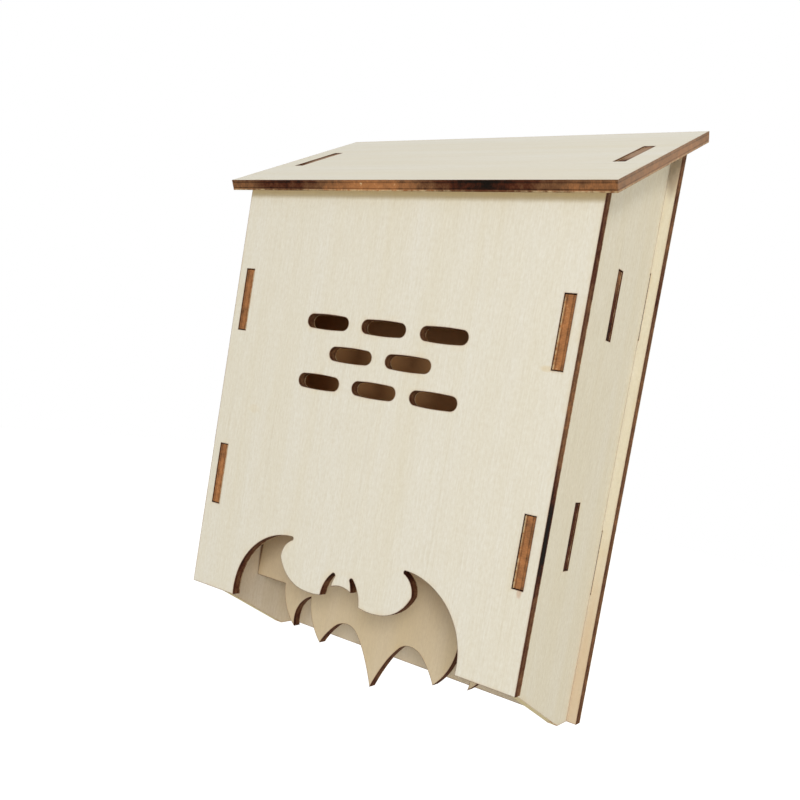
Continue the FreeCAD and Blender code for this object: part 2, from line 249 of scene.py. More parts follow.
class BATBOX_PG_plywood(bpy.types.PropertyGroup):
    """Sizes and colours of the plywood, and how strongly its marks show."""

    veneer: length_property("Veneer", 1.2, "Thickness of each face veneer")
    arris: length_property("Arris", 0.12, "How far the cut edges are eased")
    glue_groove: length_property("Glue groove", 0.12, "Depth of the line that a glue layer leaves")
    cream: colour_property("Cream", "#ECE8DB", "Main colour of the sanded veneer")
    sap: colour_property("Sap", "#DDCEA2", "Yellower bands of the veneer")
    growth: colour_property("Growth", "#CCBFA0", "Thin growth lines of the veneer")
    scorch: colour_property("Scorch", "#C9A57C", "Heat stain beside a cut")
    # Also the colour of the painted shade below the roof
    smoke_and_eave_shade: colour_property("Smoke", "#D9BC7E", "Yellow haze that smoke leaves near a cut")
    inside_shade: colour_property("Film", "#C58C52", "Brown film that fumes leave inside the box")
    # Colour of the painted warm shade inside the box
    tan: colour_property("Tan", "#B97C4C", "Cut edge where the beam passed fast")
    brown: colour_property("Brown", "#735035", "Cut edge as it is mostly")
    umber: colour_property("Umber", "#4E2616", "Cut edge in curves and small holes")
    soot: colour_property("Soot", "#17110C", "Cut edge where the beam dwelt")
    # Also a painted sheen on the roof's side edges
    ash_and_sheen: colour_property("Ash", "#B69C84", "Pale dust that the burnt wood leaves on a cut edge")
    bands_show: share_property("Bands", 0.25, "How far the bands shift the veneer's tone")
    growth_show: share_property("Growth lines", 0.2, "How strongly the growth lines show")
    fibres_show: share_property("Fibres", 0.28, "How strongly fibres and mottling show")
    pores_show: share_property("Pores", 0.2, "How strongly the pores show")
    haze_show: share_property("Smoke haze", 0.2, "How strongly the haze near a cut shows")
    # Smoke below the roof, together with the painted shade of the eaves
    eaves_smoke_and_shade_show: share_property("Smoke below the roof", 0.62, "How strongly it shows")
    # Painted shade inside the box
    inside_shade_show: share_property("Film inside", 0.9, "How strongly it shows")
    heat_show: share_property("Heat stain", 0.35, "How strongly it shows beside a cut")
    singe_show: share_property("Singe", 0.5, "How burnt the rim of a face is")
    rim_show: share_property("Pale rim", 0.6, "How pale the rear rim of a quick cut stays")
    arris_show: share_property("Burnt arris", 0.8, "How burnt the arris of a cut edge is")


class BATBOX_PG_studio(bpy.types.PropertyGroup):
    """Camera, lamps and floor."""

    camera_place: FloatVectorProperty(
        name="Camera place", subtype="TRANSLATION", unit="LENGTH", size=3,
        default=(0.24287, -0.41536, -0.10832), description="Where the camera stands")
    camera_heading: angle_property("Heading", 34.23, "Turn of the camera to the left of the wall's normal")
    camera_pitch: angle_property("Pitch", -4.52, "How far the camera looks up")
    camera_roll: angle_property("Roll", 9.52, "Turn of the camera about its own line of sight")
    lens: FloatProperty(
        name="Lens", unit="CAMERA", default=40.027, min=1,
        description="Focal length in millimetres on a 36 mm sensor")
    shift_x: FloatProperty(
        name="Shift X", default=0.01316, description="Sideways shift of the frame, as a share of its width")
    shift_y: FloatProperty(
        name="Shift Y", default=0.08381, description="Upward shift of the frame, as a share of its width")
    sky: FloatProperty(
        name="Sky", default=0.6, min=0, description="Level of the even light from all round")
    key: power_property("Key", 15.6, "Power of the soft box at the front right")
    side: power_property("Side", 1.8, "Power of the soft box at the right")
    top: power_property("Top", 0.6, "Power of the soft box overhead")
    floor_drop: length_property("Floor drop", 350, "From the foot of the box down to the floor")
    paper: colour_property("Paper", "#E8E6E2", "Colour of the floor")
    glow: share_property("Glow", 0.68, "How much the floor glows to the camera")


def add_node(tree, kind, inputs=None, **settings):
    """Add a node, set its own settings, and set or link its inputs."""
    node = tree.nodes.new(kind)
    for name, value in settings.items():
        setattr(node, name, value)
    for key, value in (inputs or {}).items():
        if isinstance(value, bpy.types.NodeSocket):
            tree.links.new(value, node.inputs[key])
        else:
            node.inputs[key].default_value = value
    return node


def streaks(tree, sheet, width, length, low, high, detail=2.0, turn=0.0):
    """Noise drawn out along the grain, from 0 to 1: width and length of a streak in millimetres."""
    placed = add_node(tree, "ShaderNodeMapping", {
        "Vector": sheet, "Rotation": (0, 0, math.radians(turn)),
        "Scale": (1 / width, 1 / length, 1 / width)})
    noise = add_node(tree, "ShaderNodeTexNoise", {
        "Vector": placed.outputs[0], "Scale": 1.0, "Detail": detail, "Roughness": 0.6})
    spread = add_node(tree, "ShaderNodeMapRange", {
        "Value": noise.outputs[0], "From Min": low, "From Max": high}, clamp=True)
    return spread.outputs[0]


def fading(tree, distance, near, far):
    """From 1 at a near distance smoothly down to 0 at a far one, in millimetres."""
    fall = add_node(tree, "ShaderNodeMapRange", {
        "Value": distance, "From Min": near, "From Max": far, "To Min": 1.0, "To Max": 0.0},
        clamp=True, interpolation_type="SMOOTHSTEP")
    return fall.outputs[0]


def stained(tree, colour, pattern, strength, stain):
    """A colour with a stain or painted shade laid over it where a pattern from 0 to 1 shows, at most at a
    strength.
    """
    amount = add_node(tree, "ShaderNodeMath", {0: pattern, 1: strength},
                      operation="MULTIPLY", use_clamp=True).outputs[0]
    laid = add_node(tree, "ShaderNodeMix", {0: amount, 6: colour, 7: stain}, data_type="RGBA")
    return laid.outputs[2]


def near_spot(tree, place, centre, reach):
    """1 at a spot in the box, given in millimetres, and smoothly down to 0 at its reach along each axis."""
    away = add_node(tree, "ShaderNodeVectorMath", {
        0: place, 1: [c * MM for c in centre]}, operation="SUBTRACT").outputs[0]
    away = add_node(tree, "ShaderNodeVectorMath", {
        0: away, 1: [c * MM for c in reach]}, operation="DIVIDE").outputs[0]
    length = add_node(tree, "ShaderNodeVectorMath", {0: away}, operation="LENGTH").outputs["Value"]
    return fading(tree, length, SPOT_CORE, 1.0)


def new_material(name):
    """An empty node material, its tree and its sheet coordinates in millimetres."""
    material = bpy.data.materials.new(name)
    material.use_nodes = True
    tree = material.node_tree
    tree.nodes.clear()
    sheet = add_node(tree, "ShaderNodeAttribute", attribute_name="sheet_mm").outputs["Vector"]
    return material, tree, sheet


def finish_material(tree, colour, roughness, gloss, height, relief):
    """Close a material: gloss is the share of the usual mirror shine, height is in parts of relief."""
    bump = add_node(tree, "ShaderNodeBump", {"Strength": 1.0, "Distance": relief, "Height": height})
    shader = add_node(tree, "ShaderNodeBsdfPrincipled", {
        "Base Color": colour, "Roughness": roughness, "IOR": 1.45, "Specular IOR Level": 0.5 * gloss,
        "Normal": bump.outputs[0]})
    add_node(tree, "ShaderNodeOutputMaterial", {"Surface": shader.outputs[0]})


def below_roof(tree, place):
    """How far a place lies below the roof's top face, in millimetres and square to it."""
    _, _, face = plate_axes("roof")
    rise = add_node(tree, "ShaderNodeVectorMath", {0: place, 1: face}, operation="DOT_PRODUCT")
    top = show_level("roof", face)
    drop = add_node(tree, "ShaderNodeMath", {0: rise.outputs["Value"], 1: -1 / MM, 2: top / MM},
                    operation="MULTIPLY_ADD")
    return drop.outputs[0]


def smoke_and_shade_below_roof(tree, drop):
    """From 0 to 1, how strongly smoke and painted shade lie on a plate by its drop below the roof's top
    face.
    """
    under = add_node(tree, "ShaderNodeMath", {0: drop, 1: THICKNESS + EAVES_SMOKE_AND_SHADE_START},
                     operation="GREATER_THAN").outputs[0]
    fade = fading(tree, drop, THICKNESS + EAVES_SMOKE_AND_SHADE_NEAR, THICKNESS + EAVES_SMOKE_AND_SHADE_FAR)
    return add_node(tree, "ShaderNodeMath", {0: fade, 1: under}, operation="MULTIPLY").outputs[0]


def painted_shade_inside(tree, place, drop):
    """From 0 to 1, how strongly the painted shade lies: between the walls and below the roof, lighter
    towards the open foot, but strong all over the rear of the front panel."""
    across, depth, height = add_node(tree, "ShaderNodeSeparateXYZ", {0: place}).outputs
    inside_shade = add_node(tree, "ShaderNodeMapRange", {
        "Value": height, "From Min": INSIDE_SHADE_LOW * MM, "From Max": INSIDE_SHADE_HIGH * MM,
        "To Min": INSIDE_SHADE_LEAST, "To Max": 1.0}, clamp=True).outputs[0]
    behind_front = add_node(tree, "ShaderNodeMath", {0: depth, 1: FRONT_HIGH.y, 2: ON_WALL * MM},
                            operation="COMPARE").outputs[0]
    inside_shade = add_node(tree, "ShaderNodeMath", {0: inside_shade, 1: behind_front}, operation="MAXIMUM").outputs[0]
    below = add_node(tree, "ShaderNodeMath", {0: drop, 1: THICKNESS / 2},
                     operation="GREATER_THAN").outputs[0]
    inside_shade = add_node(tree, "ShaderNodeMath", {0: inside_shade, 1: below}, operation="MULTIPLY").outputs[0]
    walls = ((across, LEFT_HIGH.x, RIGHT_LOW.x), (depth, FRONT_HIGH.y, BACK_LOW.y))
    for value, low, high in walls:
        within = add_node(tree, "ShaderNodeMath", {
            0: value, 1: (low + high) / 2, 2: (high - low) / 2 + PAST_WALL * MM},
            operation="COMPARE").outputs[0]
        inside_shade = add_node(tree, "ShaderNodeMath", {0: inside_shade, 1: within}, operation="MULTIPLY").outputs[0]
    return inside_shade


def sanded_basswood(ply):
    """Basswood veneer, peeled and sanded: pale cream, nearly plain, with hair-fine fibres along
    the grain, wide bands a shade yellower, a few thin growth lines and a silky, almost matt face."""
    material, tree, sheet = new_material(VENEER_FINISH)
    tone, fibre = [
        add_node(tree, "ShaderNodeAttribute", attribute_type="OBJECT", attribute_name=name).outputs["Fac"]
        for name in ("tone", "fibre")]
    # Bands: earlier and later wood, as wide as the knife follows one ring, shift each plate's own tone
    bands = streaks(tree, sheet, width=14, length=240, low=0.3, high=0.7)
    yellow = add_node(tree, "ShaderNodeMath", {0: bands, 1: ply.bands_show, 2: tone},
                      operation="MULTIPLY_ADD").outputs[0]
    colour = stained(tree, ply.cream, yellow, 1.0, ply.sap)
    # Growth lines: the peeling knife meets each year's ring in one long, faint, wandering line
    growth = streaks(tree, sheet, width=2.6, length=150, low=0.58, high=0.72, detail=3.0, turn=1.2)
    colour = stained(tree, colour, growth, ply.growth_show, ply.growth)
    # Fibres are some 0.1 mm wide. They are drawn 0.6 mm wide, so that they show in the render.
    fibres = streaks(tree, sheet, width=0.6, length=12, low=0.3, high=0.7, detail=3.0)
    faint = add_node(tree, "ShaderNodeMath", {0: fibre, 1: ply.fibres_show},
                     operation="MULTIPLY").outputs[0]
    colour = stained(tree, colour, fibres, faint, ply.growth)
    # Mottling: sanding dust and fine pores leave the face a little uneven, about 1.5 mm across
    mottle = streaks(tree, sheet, width=1.2, length=2.2, low=0.35, high=0.75)
    colour = stained(tree, colour, mottle, faint, ply.growth)
    # Pores, cut across by the knife: short faint dashes, widened like the fibres
    pores = streaks(tree, sheet, width=0.45, length=3.5, low=0.66, high=0.76)
    colour = stained(tree, colour, pores, ply.pores_show, ply.growth)
    # Smoke haze: the fumes yellow the face in a few patches, some millimetres out from the cut
    cut = add_node(tree, "ShaderNodeAttribute", attribute_name="cut_mm").outputs["Fac"]
    puffs = streaks(tree, sheet, width=12, length=16, low=0.5, high=0.72)
    haze = add_node(tree, "ShaderNodeMath", {0: fading(tree, cut, 0.0, 4.0), 1: puffs},
                    operation="MULTIPLY").outputs[0]
    colour = stained(tree, colour, haze, ply.haze_show, ply.smoke_and_eave_shade)
    place = add_node(tree, "ShaderNodeTexCoord").outputs["Object"]
    # Stains, and the painted shadow of the roof on the back panel's strip
    for stain, strength, centre, reach in STAINS_AND_SHADOW:
        spot = near_spot(tree, place, centre, reach)
        colour = stained(tree, colour, spot, strength, getattr(ply, stain))
    # Smoke and painted shade lie on every plate right below the roof, and painted shade on every face
    # inside the box
    drop = below_roof(tree, place)
    colour = stained(tree, colour, smoke_and_shade_below_roof(tree, drop), ply.eaves_smoke_and_shade_show, ply.smoke_and_eave_shade)
    colour = stained(tree, colour, painted_shade_inside(tree, place, drop), ply.inside_shade_show, ply.inside_shade)
    # Heat stain: a faint tan line right at the cut, which fades over a millimetre in patches
    patches = streaks(tree, sheet, width=7, length=9, low=0.35, high=0.75)
    heat = add_node(tree, "ShaderNodeMath", {0: fading(tree, cut, 0.1, 1.4), 1: patches},
                    operation="MULTIPLY").outputs[0]
    colour = stained(tree, colour, heat, ply.heat_show, ply.scorch)
    # Singe: the very rim of the face is burnt brown
    colour = stained(tree, colour, fading(tree, cut, 0.05, 0.45), ply.singe_show, ply.brown)
    roughness = add_node(tree, "ShaderNodeMapRange", {
        "Value": fibres, "To Min": 0.58, "To Max": 0.72}).outputs[0]
    finish_material(tree, colour, roughness, gloss=0.8, height=fibres, relief=0.015 * MM)
    return material


def laser_cut_edge(ply):
    """Plywood edge as the laser leaves it: three plies between two dark glue lines, tan to brown
    where the beam went fast and sooty where it dwelt, with fine marks of its pulses down the cut."""
    material, tree, sheet = new_material(EDGE_FINISH)
    depth = add_node(tree, "ShaderNodeSeparateXYZ", {0: sheet}).outputs[2]
    centred = add_node(tree, "ShaderNodeMath", {0: depth, 1: THICKNESS / 2},
                       operation="SUBTRACT").outputs[0]
    out = add_node(tree, "ShaderNodeMath", {0: centred}, operation="ABSOLUTE").outputs[0]
    glue_at = THICKNESS / 2 - ply.veneer / MM
    char = add_node(tree, "ShaderNodeAttribute", attribute_name="char").outputs["Fac"]
    slow = streaks(tree, sheet, width=24, length=24, low=0.25, high=0.75)
    quick = streaks(tree, sheet, width=4, length=4, low=0.25, high=0.75, detail=3.0)
    # Pulse marks, some 0.4 mm wide, run down the cut, so this noise changes more slowly with depth
    placed = add_node(tree, "ShaderNodeMapping", {"Vector": sheet, "Scale": (2.4, 2.4, 0.9)})
    pulses = add_node(tree, "ShaderNodeTexNoise", {
        "Vector": placed.outputs[0], "Scale": 1.0, "Detail": 4.0, "Roughness": 0.7}).outputs[0]
    # Each noise swings the char about its own level by half of its weight
    level = char
    for pattern, weight in ((slow, 0.15), (quick, 0.35), (pulses, 0.5)):
        level = add_node(tree, "ShaderNodeMath", {0: pattern, 1: weight, 2: level},
                         operation="MULTIPLY_ADD").outputs[0]
        level = add_node(tree, "ShaderNodeMath", {0: level, 1: weight / 2},
                         operation="SUBTRACT").outputs[0]
    # The beam comes in at the show face and is spent at the rear, where the last veneer burns least,
    # and the fibres of the core lie across the others and burn a little less
    last_ply = add_node(tree, "ShaderNodeMapRange", {
        "Value": centred, "From Min": glue_at - 0.1, "From Max": glue_at + 0.5}, clamp=True).outputs[0]
    last_ply = add_node(tree, "ShaderNodeMath", {0: last_ply, 1: char}, operation="MULTIPLY").outputs[0]
    core = fading(tree, out, glue_at - 0.2, glue_at)
    for ply_share, change in ((last_ply, -0.4), (core, -0.1)):
        level = add_node(tree, "ShaderNodeMath", {0: ply_share, 1: change, 2: level},
                         operation="MULTIPLY_ADD").outputs[0]
    ramp = add_node(tree, "ShaderNodeValToRGB", {0: level})
    stops = ramp.color_ramp.elements
    for position, _ in CHAR_COLOURS[1:-1]:
        stops.new(position)
    for stop, (_, colour) in zip(stops, CHAR_COLOURS):
        stop.color = getattr(ply, colour)
    # Where the beam leaves the plate in haste, the rim of the rear veneer stays pale in scallops
    haste = add_node(tree, "ShaderNodeMapRange", {
        "Value": level, "From Min": 0.35, "From Max": 0.6, "To Min": 1.0, "To Max": 0.0},
        clamp=True).outputs[0]
    scallops = streaks(tree, sheet, width=2.4, length=2.4, low=0.35, high=0.6)
    pale = add_node(tree, "ShaderNodeMapRange", {
        "Value": depth, "From Min": THICKNESS - 0.75, "From Max": THICKNESS - 0.5},
        clamp=True).outputs[0]
    for share in (haste, scallops):
        pale = add_node(tree, "ShaderNodeMath", {0: pale, 1: share}, operation="MULTIPLY").outputs[0]
    colour = stained(tree, ramp.outputs[0], pale, ply.rim_show, ply.sap)
    # Glue chars first: a thin line nearly as dark as soot at both joints, broken here and there
    off_glue = add_node(tree, "ShaderNodeMath", {0: out, 1: glue_at}, operation="SUBTRACT").outputs[0]
    off_glue = add_node(tree, "ShaderNodeMath", {0: off_glue}, operation="ABSOLUTE").outputs[0]
    breaks = add_node(tree, "ShaderNodeMath", {0: quick, 1: char, 2: 0.1},
                      operation="MULTIPLY_ADD").outputs[0]
    colour = stained(tree, colour, fading(tree, off_glue, 0.05, 0.42), breaks, ply.soot)
    # The arris on both faces is burnt to a thin dark line, the more so the longer the beam stayed
    arris = add_node(tree, "ShaderNodeMapRange", {
        "Value": out, "From Min": THICKNESS / 2 - 0.4, "From Max": THICKNESS / 2}, clamp=True).outputs[0]
    arris = add_node(tree, "ShaderNodeMath", {0: arris, 1: char},
                     operation="MULTIPLY", use_clamp=True).outputs[0]
    colour = stained(tree, colour, arris, ply.arris_show, ply.umber)
    place = add_node(tree, "ShaderNodeTexCoord").outputs["Object"]
    # Pale ash on the cut edges, and a painted sheen on the roof's side edges
    for strength, centre, reach in ASH_AND_SHEEN:
        colour = stained(tree, colour, near_spot(tree, place, centre, reach), strength, ply.ash_and_sheen)
    finish_material(tree, colour, roughness=0.8, gloss=0.2, height=pulses, relief=0.08 * MM)
    return material


def circle_through(a, b, c):
    """Centre and radius of the circle through three points, or None if they are nearly in line or
    turn too sharply to be neighbours on one arc."""
    cross = (b - a).cross(c - a)
    straight = abs(cross) < LEAST_BEND * (c - a).length_squared
    if straight or (b - a).angle(c - b) > math.radians(ARC_TURN):
        return None
    ab, ac = (b - a).length_squared, (c - a).length_squared
    offset = Vector(((c - a).y * ab - (b - a).y * ac, (b - a).x * ac - (c - a).x * ab)) / (2 * cross)
    return a + offset, offset.length


def same_circle(first, second):
    """Whether two circles, each fitted to three points of one outline, are one arc's."""
    if first is None or second is None:
        return False
    return (first[0] - second[0]).length < SAME_ARC * first[1] + SAME_ARC


def refined(points):
    """An outline with its chords bent back to the arcs that they stand for, and its straight runs
    divided. Gives the points, and for each point whether the run that starts there is an arc."""
    count = len(points)
    fits = [circle_through(points[i - 1], points[i], points[(i + 1) % count]) for i in range(count)]
    arcs = [None] * count
    for i in range(count):
        if same_circle(fits[i], fits[(i + 1) % count]):
            for run in (i - 1, i, i + 1):
                arcs[run % count] = fits[i]
    result, curved = [], []
    for i, start in enumerate(points):
        end = points[(i + 1) % count]
        if arcs[i]:
            centre, radius = arcs[i]
            spoke = start - centre
            turn = math.atan2(spoke.cross(end - centre), spoke.dot(end - centre))
            steps = math.ceil(abs(turn) / (2 * math.acos(1 - ARC_SAG / max(radius, LEAST_RADIUS))))
            result += [centre + Matrix.Rotation(turn * k / steps, 2) @ spoke for k in range(steps)]
            shares = [k / steps for k in range(steps)]
        else:
            length = (end - start).length
            steps = math.ceil(length / STRAIGHT_STEP)
            shares = [k / steps for k in range(steps)]
            if length > 3 * CORNER_STEP:
                shares = sorted(shares + [CORNER_STEP / length, 1 - CORNER_STEP / length])
            result += [start.lerp(end, share) for share in shares]
        curved += [arcs[i] is not None] * len(shares)
    return result, curved


class Outline:
    """One closed cut through a plate, in millimetres on the show face, with material to its left."""

    def __init__(self, points):
        self.points, self.curved = refined(points)
        count = len(self.points)
        ways = [(self.points[(i + 1) % count] - self.points[i]).normalized() for i in range(count)]
        self.left = [Vector((-way.y, way.x)) for way in ways]
        self.corner = [ways[i - 1].angle(ways[i]) > math.radians(CORNER_TURN) for i in range(count)]
        twice_area = sum(a.cross(b) for a, b in zip(self.points, self.points[1:] + self.points[:1]))
        self.is_hole = twice_area < 0

    def inset(self, distance):
        """The outline moved into the material, mitred at its corners."""
        moved = []
        for i, point in enumerate(self.points):
            before, after = self.left[i - 1], self.left[i]
            move = (before + after) * (distance / max(1 + before.dot(after), MITRE_LIMIT))
            room = 0.5 * min((point - self.points[i - 1]).length,
                             (point - self.points[(i + 1) % len(self.points)]).length)
            longest = max(room, distance)
            if move.length > longest:
                move.length = longest
            moved.append(point + move)
        return moved

    def ring(self, distance):
        """Points along the outline at a distance inside the material, with fans round its corners."""
        points, last = [], None
        for i, point in enumerate(self.points):
            before, after = self.left[i - 1], self.left[i]
            between = (before + after).normalized()
            if self.corner[i]:
                points += [point + way * distance for way in (before, between, after)]
                last = point
            elif last is None or (point - last).length > RING_STEP * distance:
                points.append(point + between * distance)
                last = point
        return points


def distances(points, outlines):
    """Distance from each point to the nearest cut, in millimetres."""
    starts = np.array([p for outline in outlines for p in outline.points])
    ends = np.array([p for outline in outlines for p in outline.points[1:] + outline.points[:1]])
    run = ends - starts
    at = np.array(points)[:, None, :]
    share = np.clip(((at - starts) * run).sum(2) / (run * run).sum(1), 0, 1)
    return np.linalg.norm(at - starts - share[:, :, None] * run, axis=2).min(1)


def inside(points, loops):
    """Which points lie in the material: a line from such a point to the right crosses the loops an odd
    number of times."""
    at = np.array(points)[:, None, :]
    starts = np.array([p for loop in loops for p in loop])
    ends = np.array([p for loop in loops for p in loop[1:] + loop[:1]])
    rise = ends[:, 1] - starts[:, 1]
    level = np.where(rise == 0, 1.0, rise)
    meets = starts[:, 0] + (at[:, :, 1] - starts[:, 1]) / level * (ends[:, 0] - starts[:, 0])
    spans = (starts[:, 1] > at[:, :, 1]) != (ends[:, 1] > at[:, :, 1])
    return (spans & (meets > at[:, :, 0])).sum(1) % 2 == 1


def face_mesh(outlines, rims):
    """Triangles for a plate's face: its rims, rings of points beside them, and each point's distance
    from the nearest cut. Point numbers run through the rims first and then through the extra points."""
    extra = []
    for distance in HALO_RINGS:
        found = [point for outline in outlines for point in outline.ring(distance)]
        keep = distances(found, outlines) > RING_KEEP * distance
        extra += [point for point, kept in zip(found, keep) if kept]
    points = [point for rim in rims for point in rim] + extra
    edges, first = [], 0
    for rim in rims:
        edges += [(first + i, first + (i + 1) % len(rim)) for i in range(len(rim))]
        first += len(rim)
    placed, _, triangles, origins, _, _ = geometry.delaunay_2d_cdt(points, edges, [], 0, WELD_REACH)
    middles = [sum((placed[i] for i in triangle), Vector((0, 0))) / 3 for triangle in triangles]
    kept = inside(middles, rims)
    triangles = [[origins[i][0] for i in triangle] for triangle, keep in zip(triangles, kept) if keep]
    used = sorted({i for triangle in triangles for i in triangle if i >= first})
    renumber = {old: first + new for new, old in enumerate(used)}
    triangles = [[renumber.get(i, i) for i in triangle] for triangle in triangles]
    extra = [points[i] for i in used]
    return extra, np.minimum(distances(extra, outlines), HALO_RINGS[-1]), triangles


def plate_axes(name):
    """Directions across the grain, along it and out of the show face, from the plate's own solid."""
    towards = Vector(PLATES[name].face).normalized()
    face = Vector()
    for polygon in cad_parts[name].data.polygons:
        if polygon.normal.dot(towards) > ROUGH_LEAN:
            face += polygon.normal * polygon.area
    face.normalize()
    grain = Vector(PLATES[name].grain)
    return grain.cross(face), grain, face


def show_level(name, face):
    """How far out a plate's show face stands, along the direction in which it looks."""
    return max(face.dot(vertex.co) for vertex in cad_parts[name].data.vertices)


def face_outlines(name, across, grain, face):
    """The outlines of a plate's show face, chained from the border of its flat polygons."""
    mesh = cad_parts[name].data
    number, places, welded = {}, [], []
    for vertex in mesh.vertices:
        key = tuple(round(c / MM, WELD_DECIMALS) for c in vertex.co)
        if key not in number:
            number[key] = len(places)
            places.append(Vector((vertex.co.dot(across), vertex.co.dot(grain))) / MM)
        welded.append(number[key])
    arrows = {}
    for polygon in mesh.polygons:
        if polygon.normal.dot(face) > FACE_LEAN:
            corners = [welded[i] for i in polygon.vertices]
            arrows.update({arrow: True for arrow in zip(corners, corners[1:] + corners[:1])})
    border = {a: b for a, b in arrows if (b, a) not in arrows}
    outlines = []
    while border:
        first, at = border.popitem()
        chain = [first]
        while at != first:
            chain.append(at)
            at = border.pop(at)
        outlines.append(Outline([places[i] for i in chain]))
    return outlines


def edge_profile(ply):
    """The cut edge in section, from the show face to the rear: (set in, depth) in millimetres."""
    arris, veneer, groove = ply.arris / MM, ply.veneer / MM, ply.glue_groove / MM
    front = [(arris, 0.0), (arris * ARRIS_MIDDLE, arris * ARRIS_MIDDLE), (0.0, arris),
             (0.0, veneer - groove), (groove, veneer), (0.0, veneer + groove)]
    return front + [(inset, THICKNESS - depth) for inset, depth in reversed(front)]


def char_at(name, outline, i, place):
    """How burnt the cut is at a point, before the noise of its material is added."""
    if outline.is_hole:
        level = HOLE_CHAR
    elif outline.curved[i]:
        level = CURVE_CHAR
    else:
        level = EDGE_CHAR[name]
    if outline.is_hole and outline.corner[i]:
        level += CORNER_CHAR
    for plate, centre, reach, change in SOOT_SPOTS:
        if plate == name:
            away = (place / MM - Vector(centre)).length / reach
            level += change * math.exp(-away * away)
    return level


def close_edge(mesh, outline, rows):
    """Join the rows of a cut's vertices into its edge, which stays sharp at its corners and steps."""
    count = len(outline.points)
    for upper, lower in zip(rows, rows[1:]):
        for i in range(count):
            j = (i + 1) % count
            wall = mesh.faces.new((upper[i], lower[i], lower[j], upper[j]))
            wall.material_index = FINISHES.index(EDGE_FINISH)
            wall.smooth = True
            if outline.corner[i]:
                mesh.edges.get((upper[i], lower[i])).smooth = False
    for row in rows:
        for i in range(count):
            mesh.edges.get((row[i], row[(i + 1) % count])).smooth = False


def build_plate(context, name):
    """Make a plate's finished mesh in the place of its solid, and hand it to the frame."""
    across, grain, face = plate_axes(name)
    outlines = face_outlines(name, across, grain, face)
    show = show_level(name, face)
    profile = edge_profile(context.scene.batbox_plywood)
    first_inset, _ = profile[0]
    insets = [outline.inset(first_inset) for outline in outlines]
    extra, extra_cut, triangles = face_mesh(outlines, insets)
    mesh = bmesh.new()
    sheet_mm = mesh.verts.layers.float_vector.new("sheet_mm")
    cut_mm = mesh.verts.layers.float.new("cut_mm")
    char = mesh.verts.layers.float.new("char")
    cut_from = Vector(PLATES[name].place)

    def add_vertex(point, depth):
        place = (across * point.x + grain * point.y) * MM + face * (show - depth * MM)
        vertex = mesh.verts.new(place)
        vertex[sheet_mm] = (point.x + cut_from.x, point.y + cut_from.y, depth)
        return vertex

    rims = ([], [])
    for outline in outlines:
        rows = [[add_vertex(point, depth) for point in outline.inset(inset)] for inset, depth in profile]
        for row in rows:
            for i, vertex in enumerate(row):
                vertex[char] = char_at(name, outline, i, vertex.co)
        close_edge(mesh, outline, rows)
        rims[0].extend(rows[0])
        rims[1].extend(rows[-1])
    for rim, depth, flip in ((rims[0], 0.0, False), (rims[1], THICKNESS, True)):
        for point, away in zip(extra, extra_cut):
            vertex = add_vertex(point, depth)
            vertex[cut_mm] = away
            rim.append(vertex)
        for triangle in triangles:
            mesh.faces.new([rim[i] for i in (reversed(triangle) if flip else triangle)])
    data = bpy.data.meshes.new(name + "_plywood")
    mesh.to_mesh(data)
    mesh.free()
    for finish in FINISHES:
        data.materials.append(bpy.data.materials[finish])
    plate = bpy.data.objects.new(name + "_plywood", data)
    context.scene.collection.objects.link(plate)
    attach(plate, "root")
    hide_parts(name)
    plate["tone"] = PLATES[name].tone
    plate["fibre"] = PLATES[name].fibre
    return {"FINISHED"}


class BATBOX_OT_materials(bpy.types.Operator):
    """Make the plywood's two finishes: the sanded veneer and the laser-cut edge"""
    bl_idname = "batbox.materials"
    bl_label = "Plywood finishes"

    def execute(self, context):
        sanded_basswood(context.scene.batbox_plywood)
        laser_cut_edge(context.scene.batbox_plywood)
        return {"FINISHED"}


class BATBOX_OT_front_panel(bpy.types.Operator):
    """Make the front panel, with the bat-shaped way in, the vents and the slots"""
    bl_idname = "batbox.front_panel"
    bl_label = "Front panel"

    def execute(self, context):
        return build_plate(context, "front_panel")


class BATBOX_OT_back_panel(bpy.types.Operator):
    """Make the back panel, with the keyhole that the box hangs by"""
    bl_idname = "batbox.back_panel"
    bl_label = "Back panel"

    def execute(self, context):
        return build_plate(context, "back_panel")


class BATBOX_OT_side_plates(bpy.types.Operator):
    """Make both side plates, with their tenons"""
    bl_idname = "batbox.side_plates"
    bl_label = "Side plates"

    def execute(self, context):
        for name in ("side_left", "side_right"):
            build_plate(context, name)
        return {"FINISHED"}


class BATBOX_OT_baffle(bpy.types.Operator):
    """Make the baffle, whose lower edge is the bat's wings and tail"""
    bl_idname = "batbox.baffle"
    bl_label = "Baffle"

    def execute(self, context):
        return build_plate(context, "baffle")


class BATBOX_OT_roof(bpy.types.Operator):
    """Make the roof, with a slot over each side plate's tenon"""
    bl_idname = "batbox.roof"
    bl_label = "Roof"

    def execute(self, context):
        return build_plate(context, "roof")


def add_lamp(scene, name, place, target, size, power):
    """Hang a square soft lamp at a place, turned to a target."""
    data = bpy.data.lights.new(name, "AREA")
    data.size, data.energy = size, power
    lamp = bpy.data.objects.new(name, data)
    lamp.location = place
    lamp.rotation_euler = (Vector(target) - Vector(place)).to_track_quat("-Z", "Y").to_euler()
    scene.collection.objects.link(lamp)


def bright_to_the_eye(tree, level):
    """A strength of 1 where the camera, a reflection or glass looks, and a lower level as light."""
    path = add_node(tree, "ShaderNodeLightPath")
    seen = path.outputs["Is Camera Ray"]
    for ray in ("Is Glossy Ray", "Is Transmission Ray"):
        seen = add_node(tree, "ShaderNodeMath", {0: seen, 1: path.outputs[ray]},
                        operation="MAXIMUM").outputs[0]
    return add_node(tree, "ShaderNodeMapRange", {"Value": seen, "To Min": level, "To Max": 1.0}).outputs[0]


